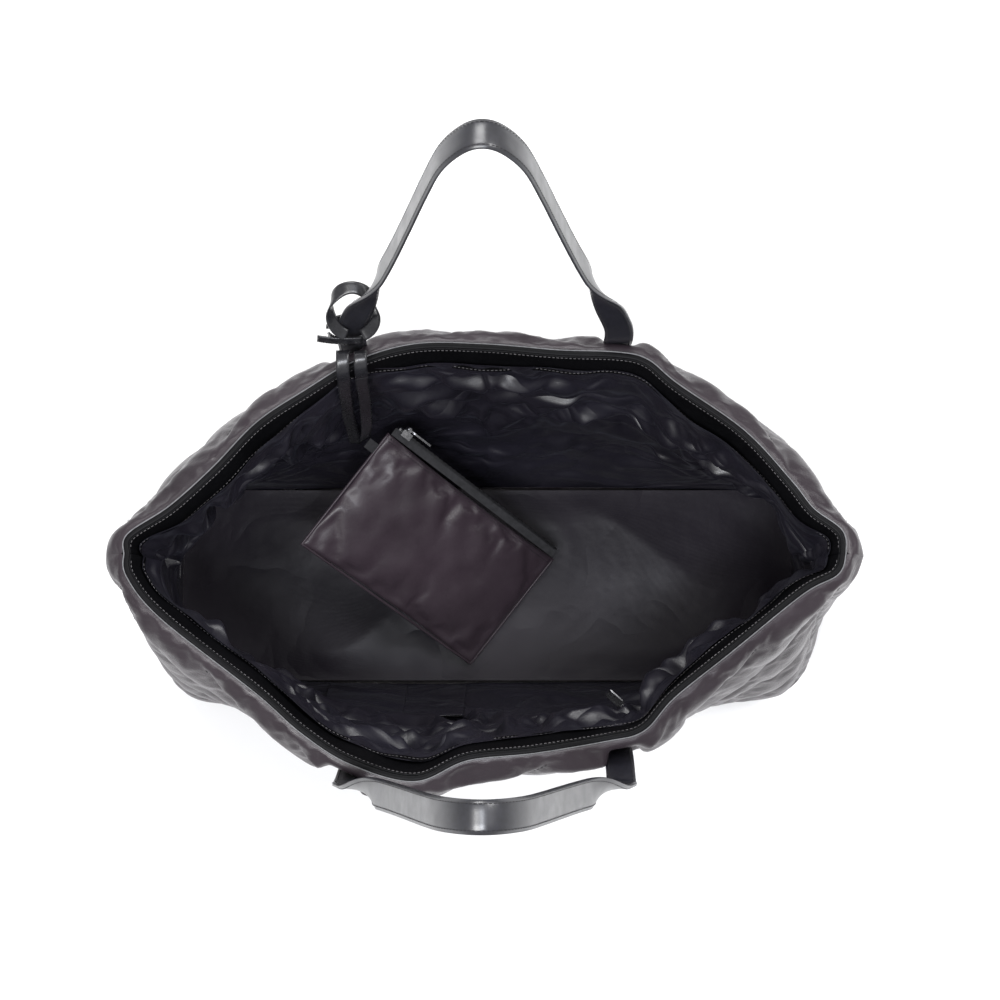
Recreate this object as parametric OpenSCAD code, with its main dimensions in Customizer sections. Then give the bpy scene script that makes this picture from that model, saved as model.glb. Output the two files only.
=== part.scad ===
// Large quilted tote bag, standing open, with two strap handles, an inner zip pocket,
// slip pockets and a padded zip pouch tied to the back handle by a flat strip.
// Origin: centre of the base's underside. X runs along the bag, Y from front to back, Z up.

/* [Body] */
// Height of the mouth's rim above the surface that the bag stands on
rim_z = 340; // [320:1:360]
// Length of the base inside the walls
base_length = 600; // [590:1:610]
// Depth of the base inside the walls
base_depth = 190; // [180:1:200]
// Radius of the base's four corners
base_corner_r = 30; // [20:1:40]
// Thickness of the padded wall where it is fullest
puff = 16; // [14:0.5:17]
// How far the back wall bellies out between base and rim
back_belly = 18; // [14:1:20]
// How far the front wall bellies out between base and rim
front_belly = 9; // [6:1:12]
// Height of the smooth band inside the mouth
facing_height = 28; // [24:1:34]

/* [Handles] */
// Width of the handle straps
strap_width = 24; // [20:1:26]
// Thickness of the handle straps
strap_thick = 3.4; // [2.4:0.2:3.6]
// Distance of each handle's roots from the middle of the bag
root_x = 112; // [108:1:114]
// Height of the handle's bend line above the rim
bend_above_rim = 6; // [5:1:8]
// Rise of the handle's top above its bend line
handle_rise = 316; // [300:1:325]
// How far the back handle leans out at rest, in degrees
back_lean = 16; // [12:1:18]
// How far the front handle leans out at rest, in degrees
front_lean = 4; // [2:1:6]

/* [Pouch] */
// Length of the pouch along its zip
pouch_length = 224; // [220:1:228]
// Depth of the pouch from its zip to its lower edge, without the zip
pouch_depth = 130; // [126:1:134]
// Thickness of one padded side of the pouch at its middle
pouch_puff = 9; // [7:0.5:10]

/* [Zips] */
// Length of the pocket zip's row of teeth
pocket_zip_length = 120; // [112:1:124]
// Height of the pocket zip's middle above the base's underside
pocket_zip_z = 232; // [228:1:236]

/* [Hidden] */

BACK = 1;
FRONT = -1;
SHELL_COLOUR = "#4a424c";
LEATHER_COLOUR = "#1b1b1f";
LINING_COLOUR = "#23222b";
WADDING_COLOUR = "#e6e4de";
METAL_COLOUR = "#a9a9ad";

cloth = 0.9;            // thickness of a modelled cloth layer
gap = 0.3;              // clearance between neighbouring layers
floor_cloth = 1.5;      // thickness of the outer base cloth
wall_z = floor_cloth + gap;
rim_edge = 3;           // wall thickness right at the rim
rim_roll = 20;          // height over which the padding swells below the rim
foot_edge = 12;         // wall thickness where the wall meets the base
foot_roll = 18;         // height over which the padding swells above the base
cells_round = 40;       // cells of a wall panel from side seam to side seam
cells_up = 8;           // cells of a wall panel from base to rim
smooth = 8;             // points per stretch of a smoothed outline

// Mouth outline at the rim, from the left side seam to the right one, as the bag is held open
mouth_back = [
    [-298, -2], [-296, 13], [-262, 36], [-226, 69], [-190, 107], [-150, 134], [-110, 158],
    [-60, 173], [0, 173], [60, 168], [112, 166], [136, 160], [160, 140], [216, 100], [255, 57],
    [273, 34], [296, 16], [298, -2]
];
mouth_front = [
    [-298, -2], [-296, -20], [-268, -54], [-188, -116], [-150, -149], [-110, -174], [-58, -188],
    [-15, -171], [40, -165], [100, -155], [130, -147], [155, -120], [203, -82], [263, -34],
    [292, -18], [298, -2]
];

// A smooth curve through four neighbours, at s from 0 to 1 between the middle two
function spline(a, b, c, d, s) =
    b + s * (c - a) / 2 + s * s * (a - 2.5 * b + 2 * c - d / 2)
    + s * s * s * (1.5 * (b - c) + (d - a) / 2);

function smoothed(p) = [
    for (i = [0 : len(p) - 2]) for (k = [0 : smooth - 1])
        spline(p[max(i - 1, 0)], p[i], p[i + 1], p[min(i + 2, len(p) - 1)], k / smooth),
    p[len(p) - 1]
];

// Distance along a path up to each of its points
function run_lengths(p, i = 0, done = 0, out = []) =
    i == len(p) ? out
    : let (here = done + (i == 0 ? 0 : norm(p[i] - p[i - 1])))
      run_lengths(p, i + 1, here, concat(out, here));

// The same path as n + 1 points at even distances
function evenly(p, n) = let (l = run_lengths(p)) [
    for (k = [0 : n])
        let (want = l[len(l) - 1] * k / n)
        let (i = min(len(p) - 2, max([0, for (j = [0 : len(p) - 1]) if (l[j] < want) j])))
        p[i] + (p[i + 1] - p[i]) * (want - l[i]) / (l[i + 1] - l[i])
];

// Half of the base outline, from the middle of the left end round to the middle of the right end
function base_half(side) = let (x = base_length / 2, y = base_depth / 2, r = base_corner_r) [
    [-x, 0],
    for (a = [180 : -15 : 90]) [-x + r + r * cos(a), side * (y - r + r * sin(a))],
    for (a = [90 : -15 : 0]) [x - r + r * cos(a), side * (y - r + r * sin(a))],
    [x, 0]
];

mouth = [evenly(smoothed(mouth_front), cells_round), evenly(smoothed(mouth_back), cells_round)];
base = [evenly(base_half(FRONT), cells_round), evenly(base_half(BACK), cells_round)];

function half(side) = side == BACK ? 1 : 0;
function height_share(z) = (z - wall_z) / (rim_z - wall_z);
function wall_mid(side, i, t) = base[half(side)][i] * (1 - t) + mouth[half(side)][i] * t;

// Outward direction of the wall in plan; at the side seams it points straight along X
function wall_out(side, i, t) =
    i <= 0 ? [-1, 0] : i >= cells_round ? [1, 0]
    : let (v = wall_mid(side, i + 1, t) - wall_mid(side, i - 1, t))
      side * [-v.y, v.x] / norm(v);

// A point of the wall at cell i, height z, and distance d outside the lining's outer face
function wall_point(side, i, z, d) =
    let (t = height_share(z))
    let (belly = side == BACK ? back_belly : front_belly)
    let (swell = belly * sin(180 * t) * sin(180 * i / cells_round))
    let (p = wall_mid(side, i, t) + (swell + d) * wall_out(side, i, t))
    [p.x, p.y, z];

function quarter_round(a) = sqrt(1 - (1 - min(a, 1)) ^ 2);

// Thickness of the padded wall at height z
function wall_thick(z) = min(
    rim_edge + (puff - rim_edge) * quarter_round((rim_z - z) / rim_roll),
    foot_edge + (puff - foot_edge) * quarter_round((z - wall_z) / foot_roll)
);

// Heights of the rings of a wall layer: close together where the padding rolls over
function ring_heights(top) = [
    wall_z, wall_z + foot_roll * 0.4, wall_z + foot_roll,
    for (k = [1 : cells_up]) wall_z + foot_roll + (rim_z - rim_roll - wall_z - foot_roll) * k / cells_up,
    for (drop = [12, 5, 1.5, 0]) if (rim_z - drop <= top) rim_z - drop
];

// Solid between two grids of points that share their rows and columns
module slab(inner, outer, flip) {
    rows = len(inner);
    cols = len(inner[0]);
    count = rows * cols;
    at = function (layer, r, c) layer * count + r * cols + c;
    quads = [
        for (r = [0 : rows - 2]) for (c = [0 : cols - 2]) each [
            [at(1, r, c), at(1, r, c + 1), at(1, r + 1, c + 1), at(1, r + 1, c)],
            [at(0, r, c), at(0, r + 1, c), at(0, r + 1, c + 1), at(0, r, c + 1)]
        ],
        for (c = [0 : cols - 2]) each [
            [at(0, 0, c), at(0, 0, c + 1), at(1, 0, c + 1), at(1, 0, c)],
            [at(0, rows - 1, c + 1), at(0, rows - 1, c), at(1, rows - 1, c), at(1, rows - 1, c + 1)]
        ],
        for (r = [0 : rows - 2]) each [
            [at(0, r + 1, 0), at(0, r, 0), at(1, r, 0), at(1, r + 1, 0)],
            [at(0, r, cols - 1), at(0, r + 1, cols - 1), at(1, r + 1, cols - 1), at(1, r, cols - 1)]
        ]
    ];
    triangles = [for (q = quads) each [[q[0], q[1], q[2]], [q[0], q[2], q[3]]]];
    faces = flip ? [for (f = triangles) [f[2], f[1], f[0]]] : triangles;
    polyhedron(points = concat([for (row = inner) each row], [for (row = outer) each row]), faces = faces);
}

// One layer of a wall panel between cells i0 and i1, at distances near(i, z) to far(i, z)
module wall_layer(side, heights, near, far, i0 = 0, i1 = cells_round) {
    inner = [for (z = heights) [for (i = [i0 : i1]) wall_point(side, i, z, near(i, z))]];
    outer = [for (z = heights) [for (i = [i0 : i1]) wall_point(side, i, z, far(i, z))]];
    slab(inner, outer, side == FRONT);
}

// ---- Outer quilted cloth, wadding, lining and facing ----

module outer_wall(side) {
    color(SHELL_COLOUR)
        wall_layer(side, ring_heights(rim_z),
            function (i, z) wall_thick(z) - cloth, function (i, z) wall_thick(z));
}

// The pocket bag hangs in a shallow space behind the front lining
pocket_first = 21;
pocket_last = 29;
pocket_low_z = 90;
pocket_near = 1.6;       // the bag lies this far behind the lining's outer face
pocket_far = 3.2;
over_low = 45;           // the padding stands back over these heights
over_high = 290;
over_side = 2;           // and this many cells to each side
function over_pocket(side, i, z) = side == FRONT && z > over_low && z < over_high
    && i >= pocket_first - over_side && i <= pocket_last + over_side;

module wadding_wall(side) {
    color(WADDING_COLOUR)
        wall_layer(side, ring_heights(rim_z - 1.5),
            function (i, z) over_pocket(side, i, z) ? pocket_far + 2 * gap : gap,
            function (i, z) wall_thick(z) - cloth - gap);
}

lining_top = rim_z - rim_roll;

module lining_wall(side) {
    color(LINING_COLOUR)
        wall_layer(side, [for (z = ring_heights(lining_top)) if (z <= lining_top) z],
            function (i, z) -cloth, function (i, z) 0);
}

module facing_band(side) {
    color(LEATHER_COLOUR)
        wall_layer(side, [for (k = [0 : 4]) rim_z - facing_height * (1 - k / 4)],
            function (i, z) -cloth - gap - 1.3, function (i, z) -cloth - gap);
}

// Closed outline of the whole base at distance d outside the lining
function base_outline(d) = let (r = base_corner_r + d) let (x = base_length / 2 + d - r)
    let (y = base_depth / 2 + d - r) [
    for (corner = [[x, y, 0], [-x, y, 90], [-x, -y, 180], [x, -y, 270]])
        for (a = [0 : 15 : 90])
            [corner[0] + r * cos(a + corner[2]), corner[1] + r * sin(a + corner[2])]
];

module base_plate(z, thick, d) {
    translate([0, 0, z]) linear_extrude(thick) polygon(base_outline(d));
}

board_thick = 2.5;
floor_pad = 5;
floor_in = -cloth - 2 * gap - 2.6;   // floor layers stay this far inside the walls

module outer_base() {
    color(SHELL_COLOUR) base_plate(0, floor_cloth, foot_edge);
}
module wadding_base() {
    color(WADDING_COLOUR) base_plate(floor_cloth + gap, floor_pad, floor_in);
}
board_z = floor_cloth + floor_pad + 2 * gap;
module base_board() {
    color("#3a3634") base_plate(board_z, board_thick, floor_in - 2);
}
floor_z = board_z + board_thick + gap;
module lining_base() {
    color(LINING_COLOUR) base_plate(floor_z, cloth, floor_in);
}

// ---- Straps: a flat ribbon swept along a route, turning about its own length ----

function unit(v) = v / norm(v);

// Ring of a ribbon's section: across is its width direction, up its thickness direction
function ribbon_ring(p, across, up, width, thick) = [
    for (q = [[-1, -0.6], [-0.86, -1], [0.86, -1], [1, -0.6], [1, 0.6], [0.86, 1], [-0.86, 1], [-1, 0.6]])
        p + across * q[0] * width / 2 + up * q[1] * thick / 2
];

// Ribbon along points p, whose width direction at each point is near w
module ribbon(p, w, width, thick) {
    n = len(p);
    rings = [
        for (i = [0 : n - 1])
            let (t = unit(p[min(i + 1, n - 1)] - p[max(i - 1, 0)]))
            let (across = unit(w[i] - t * (w[i] * t)))
            ribbon_ring(p[i], across, cross(t, across), width, thick)
    ];
    k = 8;
    sides = [
        for (i = [0 : n - 2]) for (j = [0 : k - 1]) let (m = (j + 1) % k) each [
            [i * k + j, (i + 1) * k + j, (i + 1) * k + m], [i * k + j, (i + 1) * k + m, i * k + m]
        ]
    ];
    first = [for (j = [1 : k - 2]) [0, j, j + 1]];
    last = [for (j = [1 : k - 2]) [(n - 1) * k, (n - 1) * k + j + 1, (n - 1) * k + j]];
    polyhedron(points = [for (r = rings) each r], faces = concat(sides, first, last));
}

bend_z = rim_z + bend_above_rim;
back_bend_y = 178;
front_bend_y = -191;

// Half of a handle's centre line in its own plane: distance from the middle, height above the bend
half_loop = [
    [root_x, 0], [root_x - 1, 20], [root_x - 9, 50], [root_x - 23, 92], [73, 140], [57, 195], [43, 245],
    [30, 285], [14, handle_rise - 7], [0, handle_rise]
];
loop_line = smoothed(concat(
    [for (q = half_loop) [-q[0], q[1]]],
    [for (i = [len(half_loop) - 2 : -1 : 0]) half_loop[i]]
));
loop_steps = 56;
loop_even = evenly(loop_line, loop_steps);

// Share of the quarter turn the strap has made at height s: flat on the wall below, level on top
function turned(s) = let (a = min(1, max(0, (s - 40) / 80))) 90 * a * a * (3 - 2 * a);

bend_room = 1.8;         // the turning part of a strap starts this far above its bend line

// The handle stands in a plane that leans out by lean degrees from its bend line
module handle(side, bend_y, lean) {
    up = [0, side * sin(lean), cos(lean)];
    out = [0, side * cos(lean), -sin(lean)];
    root = [0, bend_y, bend_z] + up * bend_room;
    place = function (q) root + [q[0], 0, 0] + up * q[1];
    route = [for (q = loop_even) place(q)];
    across = [
        for (i = [0 : loop_steps])
            let (t = unit(route[min(i + 1, loop_steps)] - route[max(i - 1, 0)]))
            let (flat = unit(cross(out, t)) * side)
            flat * cos(turned(loop_even[i][1])) + out * sin(turned(loop_even[i][1]))
    ];
    color(LEATHER_COLOUR) ribbon(route, across, strap_width, strap_thick);
}

// How far out the wall stands behind a strap end of the stated middle x, at height z
function wall_reach(side, x, z) =
    let (row = [for (i = [0 : cells_round]) wall_point(side, i, z, wall_thick(z))])
    let (table = [for (p = row) [p.x, side * p.y]])
    max([for (dx = [-1 : 0.25 : 1]) lookup(x + dx * strap_width / 2, table)]);

// Sewn-down end of a strap: lies against the outside of the wall and rises to the bend line
end_low_z = 262;
sunk = 6;                // the stitching pulls the strap's end this far into the padding
module handle_end(side, x, bend_y) {
    heights = [end_low_z, 275, 288, 300, 312, 322, 331, 338];
    ease = [0, 0, 0, 0.05, 0.15, 0.35, 0.6, 0.85];
    lie = strap_thick / 2 + 2 * gap - sunk;
    route = [
        for (k = [0 : len(heights) - 1])
            let (on_wall = wall_reach(side, x, min(heights[k], rim_z - 16)) + lie)
            let (y = on_wall + (max(side * bend_y, on_wall) - on_wall) * ease[k])
            [x, side * y, heights[k]],
        [x, bend_y, bend_z - gap]
    ];
    ribbon(route, [for (p = route) [1, 0, 0]], strap_width, strap_thick);
}

module handle_ends(side, bend_y) {
    color(LEATHER_COLOUR) for (x = [-root_x, root_x]) handle_end(side, x, bend_y);
}

// ---- Pockets on the front lining ----

slip_first = 12;
slip_middle = 16;
slip_last = 19;
module slip_pockets() {
    near = -cloth - gap - cloth;
    color(LINING_COLOUR) for (span = [[slip_first, slip_middle], [slip_middle, slip_last]])
        wall_layer(FRONT, [for (k = [0 : 3]) ring_heights(rim_z)[2 + k]],
            function (i, z) near - (i == span[0] || i == span[1] ? 0 : z > 100 ? 3 : 1),
            function (i, z) near + cloth - (i == span[0] || i == span[1] ? 0 : z > 100 ? 3 : 1),
            span[0], span[1]);
}

module zip_pocket_bag() {
    color(LINING_COLOUR) wall_layer(FRONT, [for (k = [0 : 5]) pocket_low_z + 30 * k],
        function (i, z) pocket_near, function (i, z) pocket_far, pocket_first, pocket_last);
}

// ---- Zips: X along the teeth, +Z away from the cloth, origin at the middle of the teeth ----

teeth_width = 5;
teeth_high = 2.2;
tape_thick = 0.8;
tooth_pitch = 6;

// Closed row of teeth as a low rib with cross ridges, length l
module zip_teeth(l) {
    color("#17171a") {
        translate([-l / 2, -teeth_width / 2 + 0.4, 0]) cube([l, teeth_width - 0.8, teeth_high - 0.4]);
        for (k = [0 : floor(l / tooth_pitch) - 1])
            translate([-l / 2 + tooth_pitch * (k + 0.5), -teeth_width / 2, 0.2])
                cube([tooth_pitch * 0.5, teeth_width, teeth_high - 0.2]);
    }
}

// Slider round the teeth: deck above, floor below, cheeks at the sides, pin on two posts
deck = 1.1;
room = 0.35;
slider_length = 11;
slider_width = teeth_width + 2 * (room + deck);
pin_r = 0.9;
pin_up = teeth_high + room + deck + 2.4;
slider_low = -tape_thick - 2 * room - deck;
module zip_slider(slots_at_sides) {
    channel_low = -tape_thick - room - (slots_at_sides ? room : 0);
    color(METAL_COLOUR) {
        difference() {
            translate([-slider_length / 2, -slider_width / 2, slider_low])
                cube([slider_length, slider_width, teeth_high + room + deck - slider_low]);
            translate([-slider_length, -teeth_width / 2 - room, channel_low])
                cube([2 * slider_length, teeth_width + 2 * room, teeth_high + room - channel_low]);
            if (slots_at_sides)
                translate([-slider_length, -slider_width, channel_low])
                    cube([2 * slider_length, 2 * slider_width, tape_thick + 2 * room]);
            else
                translate([-slider_length, -tape_thick - 2 * room, slider_low - 1])
                    cube([2 * slider_length, 2 * (tape_thick + 2 * room), 4]);
        }
        for (y = [-slider_width / 2, slider_width / 2 - 1.2])
            translate([-1.6, y, teeth_high + room + deck - 0.2]) cube([3.2, 1.2, 3.5]);
        translate([0, -slider_width / 2 + 0.3, pin_up])
            rotate([-90, 0, 0]) cylinder(r = pin_r, h = slider_width - 0.6, $fn = 24);
    }
}

// Pull: an eye round the slider's pin, a neck and a flat rectangular tab, along +X from the pin
pull_length = 26;
pull_width = 9;
pull_thick = 1.8;
eye_width = slider_width - 2 * 1.2 - 2 * room;
module zip_pull() {
    color(METAL_COLOUR) translate([0, 0, pin_up]) {
        difference() {
            union() {
                rotate([-90, 0, 0]) cylinder(r = pin_r + room + 0.8, h = eye_width, center = true, $fn = 32);
                translate([0, -eye_width / 2, -pull_thick / 2]) cube([7, eye_width, pull_thick]);
            }
            rotate([-90, 0, 0]) cylinder(r = pin_r + room, h = 2 * slider_width, center = true, $fn = 32);
        }
        translate([6, -pull_width / 2, -pull_thick / 2]) cube([pull_length - 6, pull_width, pull_thick]);
    }
}

module zip_stops(l) {
    color(METAL_COLOUR) for (x = [-l / 2 - 2.4, l / 2 + 0.4])
        translate([x, -teeth_width / 2, 0]) cube([2, teeth_width, teeth_high]);
}

// ---- The inner pocket's zip, in a straight window of the front lining ----

pocket_zip_x = 74;
pocket_zip_y = -140.3;
pocket_zip_yaw = 8;      // turn in plan, along the wall
pocket_zip_tilt = 82;    // from level to the slope of the wall
pocket_tape_width = 26;
pocket_slider_at = -50;  // where the slider stands at rest, along the teeth
wedge_r = 0.8;           // post that joins the slider's deck to its floor and parts the teeth
wedge_at = -4;           // the post's place in the slider

module on_pocket_zip() {
    translate([pocket_zip_x, pocket_zip_y, pocket_zip_z])
        rotate([0, 0, 180 + pocket_zip_yaw]) rotate([pocket_zip_tilt, 0, 0]) children();
}

module pocket_zip_tape() {
    color("#19191d") on_pocket_zip() difference() {
        translate([-pocket_zip_length / 2 - 8, -pocket_tape_width / 2, -tape_thick])
            cube([pocket_zip_length + 16, pocket_tape_width, tape_thick - 0.05]);
        translate([-pocket_zip_length / 2, -wedge_r - room, -2])
            cube([pocket_zip_length, 2 * (wedge_r + room), 4]);
    }
}
module pocket_zip_teeth() {
    first = pocket_slider_at + wedge_at + wedge_r + room;
    joined = pocket_zip_length / 2 - first;
    on_pocket_zip() translate([first + joined / 2, 0, 0]) zip_teeth(joined);
}
module pocket_zip_stops() {
    on_pocket_zip() zip_stops(pocket_zip_length);
}
module pocket_zip_slider() {
    on_pocket_zip() translate([pocket_slider_at, 0, 0]) {
        zip_slider(true);
        color(METAL_COLOUR) translate([wedge_at, 0, slider_low + 0.1])
            cylinder(r = wedge_r, h = teeth_high + room + deck - slider_low - 0.2, $fn = 24);
    }
}
pocket_pull_stand = 50;  // the pull stands off the wall by this angle
module pocket_zip_pull() {
    on_pocket_zip() translate([pocket_slider_at, 0, pin_up])
        rotate([0, -pocket_pull_stand, 0]) translate([0, 0, -pin_up]) zip_pull();
}

// The lining has a window behind the zip, with room for the slider's floor
module pocket_window() {
    on_pocket_zip() translate([-pocket_zip_length / 2 - 4, -slider_width / 2 - 1, -12])
        cube([pocket_zip_length + 8, slider_width + 2, 14]);
}
module lining_front() {
    difference() {
        lining_wall(FRONT);
        pocket_window();
    }
}

// ---- Pouch: X along its zip, +Y towards the zip, +Z its upper face ----

pouch_at = [-53, 25, 88];
pouch_turn = [8, 34, -34];
pouch_seam = 0.7;        // half thickness at the seams
module on_pouch() {
    translate(pouch_at) rotate(pouch_turn) children();
}

pouch_cells = [20, 12];
function pouch_grid(height) = [
    for (j = [0 : pouch_cells[1]]) [
        for (i = [0 : pouch_cells[0]])
            let (x = (i / pouch_cells[0] - 0.5) * pouch_length, y = (j / pouch_cells[1] - 0.5) * pouch_depth)
            let (fx = 1 - abs(2 * x / pouch_length) ^ 3, fy = 1 - abs(2 * y / pouch_depth) ^ 3)
            [x, y, height(max(0, fx * fy) ^ 0.6)]
    ]
];

module pouch_panel(side, low, high) {
    near = function (f) side * low(f);
    far = function (f) side * high(f);
    slab(pouch_grid(near), pouch_grid(far), side > 0);
}

skin = 0.9;
function pouch_high(f) = pouch_seam + skin + 0.5 + (pouch_puff - pouch_seam - skin) * f;

module pouch_cloth(side) {
    color(SHELL_COLOUR) on_pouch()
        pouch_panel(side, function (f) pouch_high(f) - skin, function (f) pouch_high(f));
}
module pouch_fill(side) {
    color(WADDING_COLOUR) on_pouch()
        pouch_panel(side, function (f) pouch_seam, function (f) pouch_high(f) - skin - 0.2);
}
module pouch_lining() {
    color(LINING_COLOUR) on_pouch() translate([-pouch_length / 2 + 1, -pouch_depth / 2 + 1, -0.5])
        cube([pouch_length - 2, pouch_depth - 2, 1]);
}

pouch_tape_reach = 8;
pouch_teeth_y = pouch_depth / 2 + pouch_tape_reach;
pouch_zip_length = pouch_length - 14;
module on_pouch_zip() {
    on_pouch() translate([0, pouch_teeth_y, 0]) rotate([-90, 0, 0]) children();
}
module pouch_zip_tape() {
    color("#19191d") on_pouch_zip() for (y = [-tape_thick - 0.1, 0.1])
        translate([-pouch_zip_length / 2 - 4, y, -pouch_tape_reach + gap])
            cube([pouch_zip_length + 8, tape_thick, pouch_tape_reach - gap - 0.05]);
}
module pouch_zip_teeth() {
    on_pouch_zip() zip_teeth(pouch_zip_length);
}
module pouch_zip_stops() {
    on_pouch_zip() zip_stops(pouch_zip_length);
}
pouch_slider_at = -98;
module pouch_zip_slider() {
    on_pouch_zip() translate([pouch_slider_at, 0, 0]) zip_slider(false);
}
module pouch_zip_pull() {
    on_pouch_zip() translate([pouch_slider_at, 0, 0]) zip_pull();
}

// Short folded loop in the pouch's side seam, which the strip is sewn to
tab_y = 46;
module pouch_tether_tab() {
    color(LEATHER_COLOUR) on_pouch() translate([-pouch_length / 2 - 12, tab_y - 5, -1])
        cube([12 - gap, 10, 2]);
}

// ---- Strip that ties the pouch to the back handle ----

tether_width = 11;
tether_thick = 1.6;

// A point on the back handle's left leg: s along the leg, a across it, b out of it
back_up = [0, sin(back_lean), cos(back_lean)];
back_out = [0, cos(back_lean), -sin(back_lean)];
function by_leg(s, a, b) = [-root_x + a, back_bend_y, bend_z] + back_up * s + back_out * b;

// Loop of the strip that goes round the handle's leg
module tether_loop() {
    route = [
        for (k = [0 : 24]) let (turn = 205 + 310 * k / 24)
            by_leg(46 + 20 * cos(turn), 4 + 19 * sin(turn), 10 * cos(turn) + 1.5)
    ];
    color(LEATHER_COLOUR) ribbon(route, [for (p = route) back_out * 0.9 + back_up * 0.5],
        tether_width - 1, tether_thick);
}

// Turn of the strip that closes the knot below the loop
module tether_wrap() {
    route = [
        for (k = [0 : 20]) let (turn = -170 + 340 * k / 20)
            by_leg(18 + 5 * sin(turn), -2 + 17 * cos(turn), -1 + 8.5 * sin(turn))
    ];
    color(LEATHER_COLOUR) ribbon(route, [for (p = route) back_up], tether_width - 1, tether_thick);
}

// The long run: over the rim, down inside the bag and across to the tab on the pouch
strap_route = [
    [-104, 167, 352], [-104, 160, 353], [-104, 152, 347], [-104, 148, 334], [-105, 146, 315],
    [-105, 143, 285], [-106, 138, 250], [-107, 132, 220], [-108, 127, 195], [-110, 123, 178],
    [-111, 121, 166]
];
// The free end hangs straight down beside it
tail_route = [
    [-119, 167, 352], [-119, 158, 352], [-119, 149, 346], [-119, 145, 334], [-120, 143, 315],
    [-121, 140, 285], [-122, 137, 250], [-123, 133, 215], [-123, 130, 180], [-123, 127, 150],
    [-123, 124, 120]
];

module tether_ribbon(p) {
    line = evenly(smoothed(p), 5 * (len(p) - 1));
    color(LEATHER_COLOUR) ribbon(line, [for (q = line) [1, 0.12, 0]], tether_width, tether_thick);
}
module tether_strap() {
    tether_ribbon(strap_route);
}
module tether_tail() {
    tether_ribbon(tail_route);
}

outer_wall(FRONT);  // outer_front
outer_wall(BACK);  // outer_back
outer_base();
wadding_wall(FRONT);  // wadding_front
wadding_wall(BACK);  // wadding_back
wadding_base();
base_board();
lining_front();
lining_wall(BACK);  // lining_back
lining_base();
facing_band(FRONT);  // facing_front
facing_band(BACK);  // facing_back
handle(FRONT, front_bend_y, front_lean);  // front_handle
handle(BACK, back_bend_y, back_lean);  // back_handle
handle_ends(FRONT, front_bend_y);  // front_handle_ends
handle_ends(BACK, back_bend_y);  // back_handle_ends
slip_pockets();
zip_pocket_bag();
pocket_zip_tape();
pocket_zip_teeth();
pocket_zip_stops();
pocket_zip_slider();
pocket_zip_pull();
pouch_cloth(1);  // pouch_front
pouch_cloth(-1);  // pouch_back
pouch_fill(1);  // pouch_wadding_front
pouch_fill(-1);  // pouch_wadding_back
pouch_lining();
pouch_zip_tape();
pouch_zip_teeth();
pouch_zip_stops();
pouch_zip_slider();
pouch_zip_pull();
pouch_tether_tab();
tether_loop();
tether_wrap();
tether_strap();
tether_tail();
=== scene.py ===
"""Looks of the large quilted tote bag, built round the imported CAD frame. Everything is in metres."""
import math

import bpy
import numpy as np
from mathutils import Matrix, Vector


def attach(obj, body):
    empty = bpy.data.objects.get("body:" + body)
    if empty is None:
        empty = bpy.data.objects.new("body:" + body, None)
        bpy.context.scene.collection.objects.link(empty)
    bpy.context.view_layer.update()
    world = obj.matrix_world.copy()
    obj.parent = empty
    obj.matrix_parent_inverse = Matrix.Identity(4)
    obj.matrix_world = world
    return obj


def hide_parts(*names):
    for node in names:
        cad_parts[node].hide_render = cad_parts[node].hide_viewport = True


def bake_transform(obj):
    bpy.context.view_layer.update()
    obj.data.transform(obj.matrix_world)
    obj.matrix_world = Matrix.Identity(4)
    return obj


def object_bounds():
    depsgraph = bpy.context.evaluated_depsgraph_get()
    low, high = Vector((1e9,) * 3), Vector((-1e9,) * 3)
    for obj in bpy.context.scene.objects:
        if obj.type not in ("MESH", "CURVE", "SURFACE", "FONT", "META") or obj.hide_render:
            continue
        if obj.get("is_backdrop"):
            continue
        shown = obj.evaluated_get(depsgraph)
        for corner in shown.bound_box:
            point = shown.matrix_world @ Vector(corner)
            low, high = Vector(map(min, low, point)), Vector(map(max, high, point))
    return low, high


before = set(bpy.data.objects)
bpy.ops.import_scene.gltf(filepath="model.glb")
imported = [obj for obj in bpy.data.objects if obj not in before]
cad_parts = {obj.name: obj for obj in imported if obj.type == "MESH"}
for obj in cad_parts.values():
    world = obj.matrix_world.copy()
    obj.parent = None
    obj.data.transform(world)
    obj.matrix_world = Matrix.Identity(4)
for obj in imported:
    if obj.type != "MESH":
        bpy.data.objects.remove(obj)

scene = bpy.context.scene
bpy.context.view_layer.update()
MM = 0.001
FRONT, BACK = -1, 1

# ---- camera

camera_data = bpy.data.cameras.new("camera")
camera_data.lens = 79.2
camera_data.sensor_width = 36
camera = bpy.data.objects.new("camera", camera_data)
scene.collection.objects.link(camera)
camera.location = (0.0125, -0.184, 2.1605)
camera.rotation_euler = (math.radians(7.1), 0, 0)
scene.camera = camera

# ---- the bag's own sizes, in mm, as in part.scad

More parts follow.
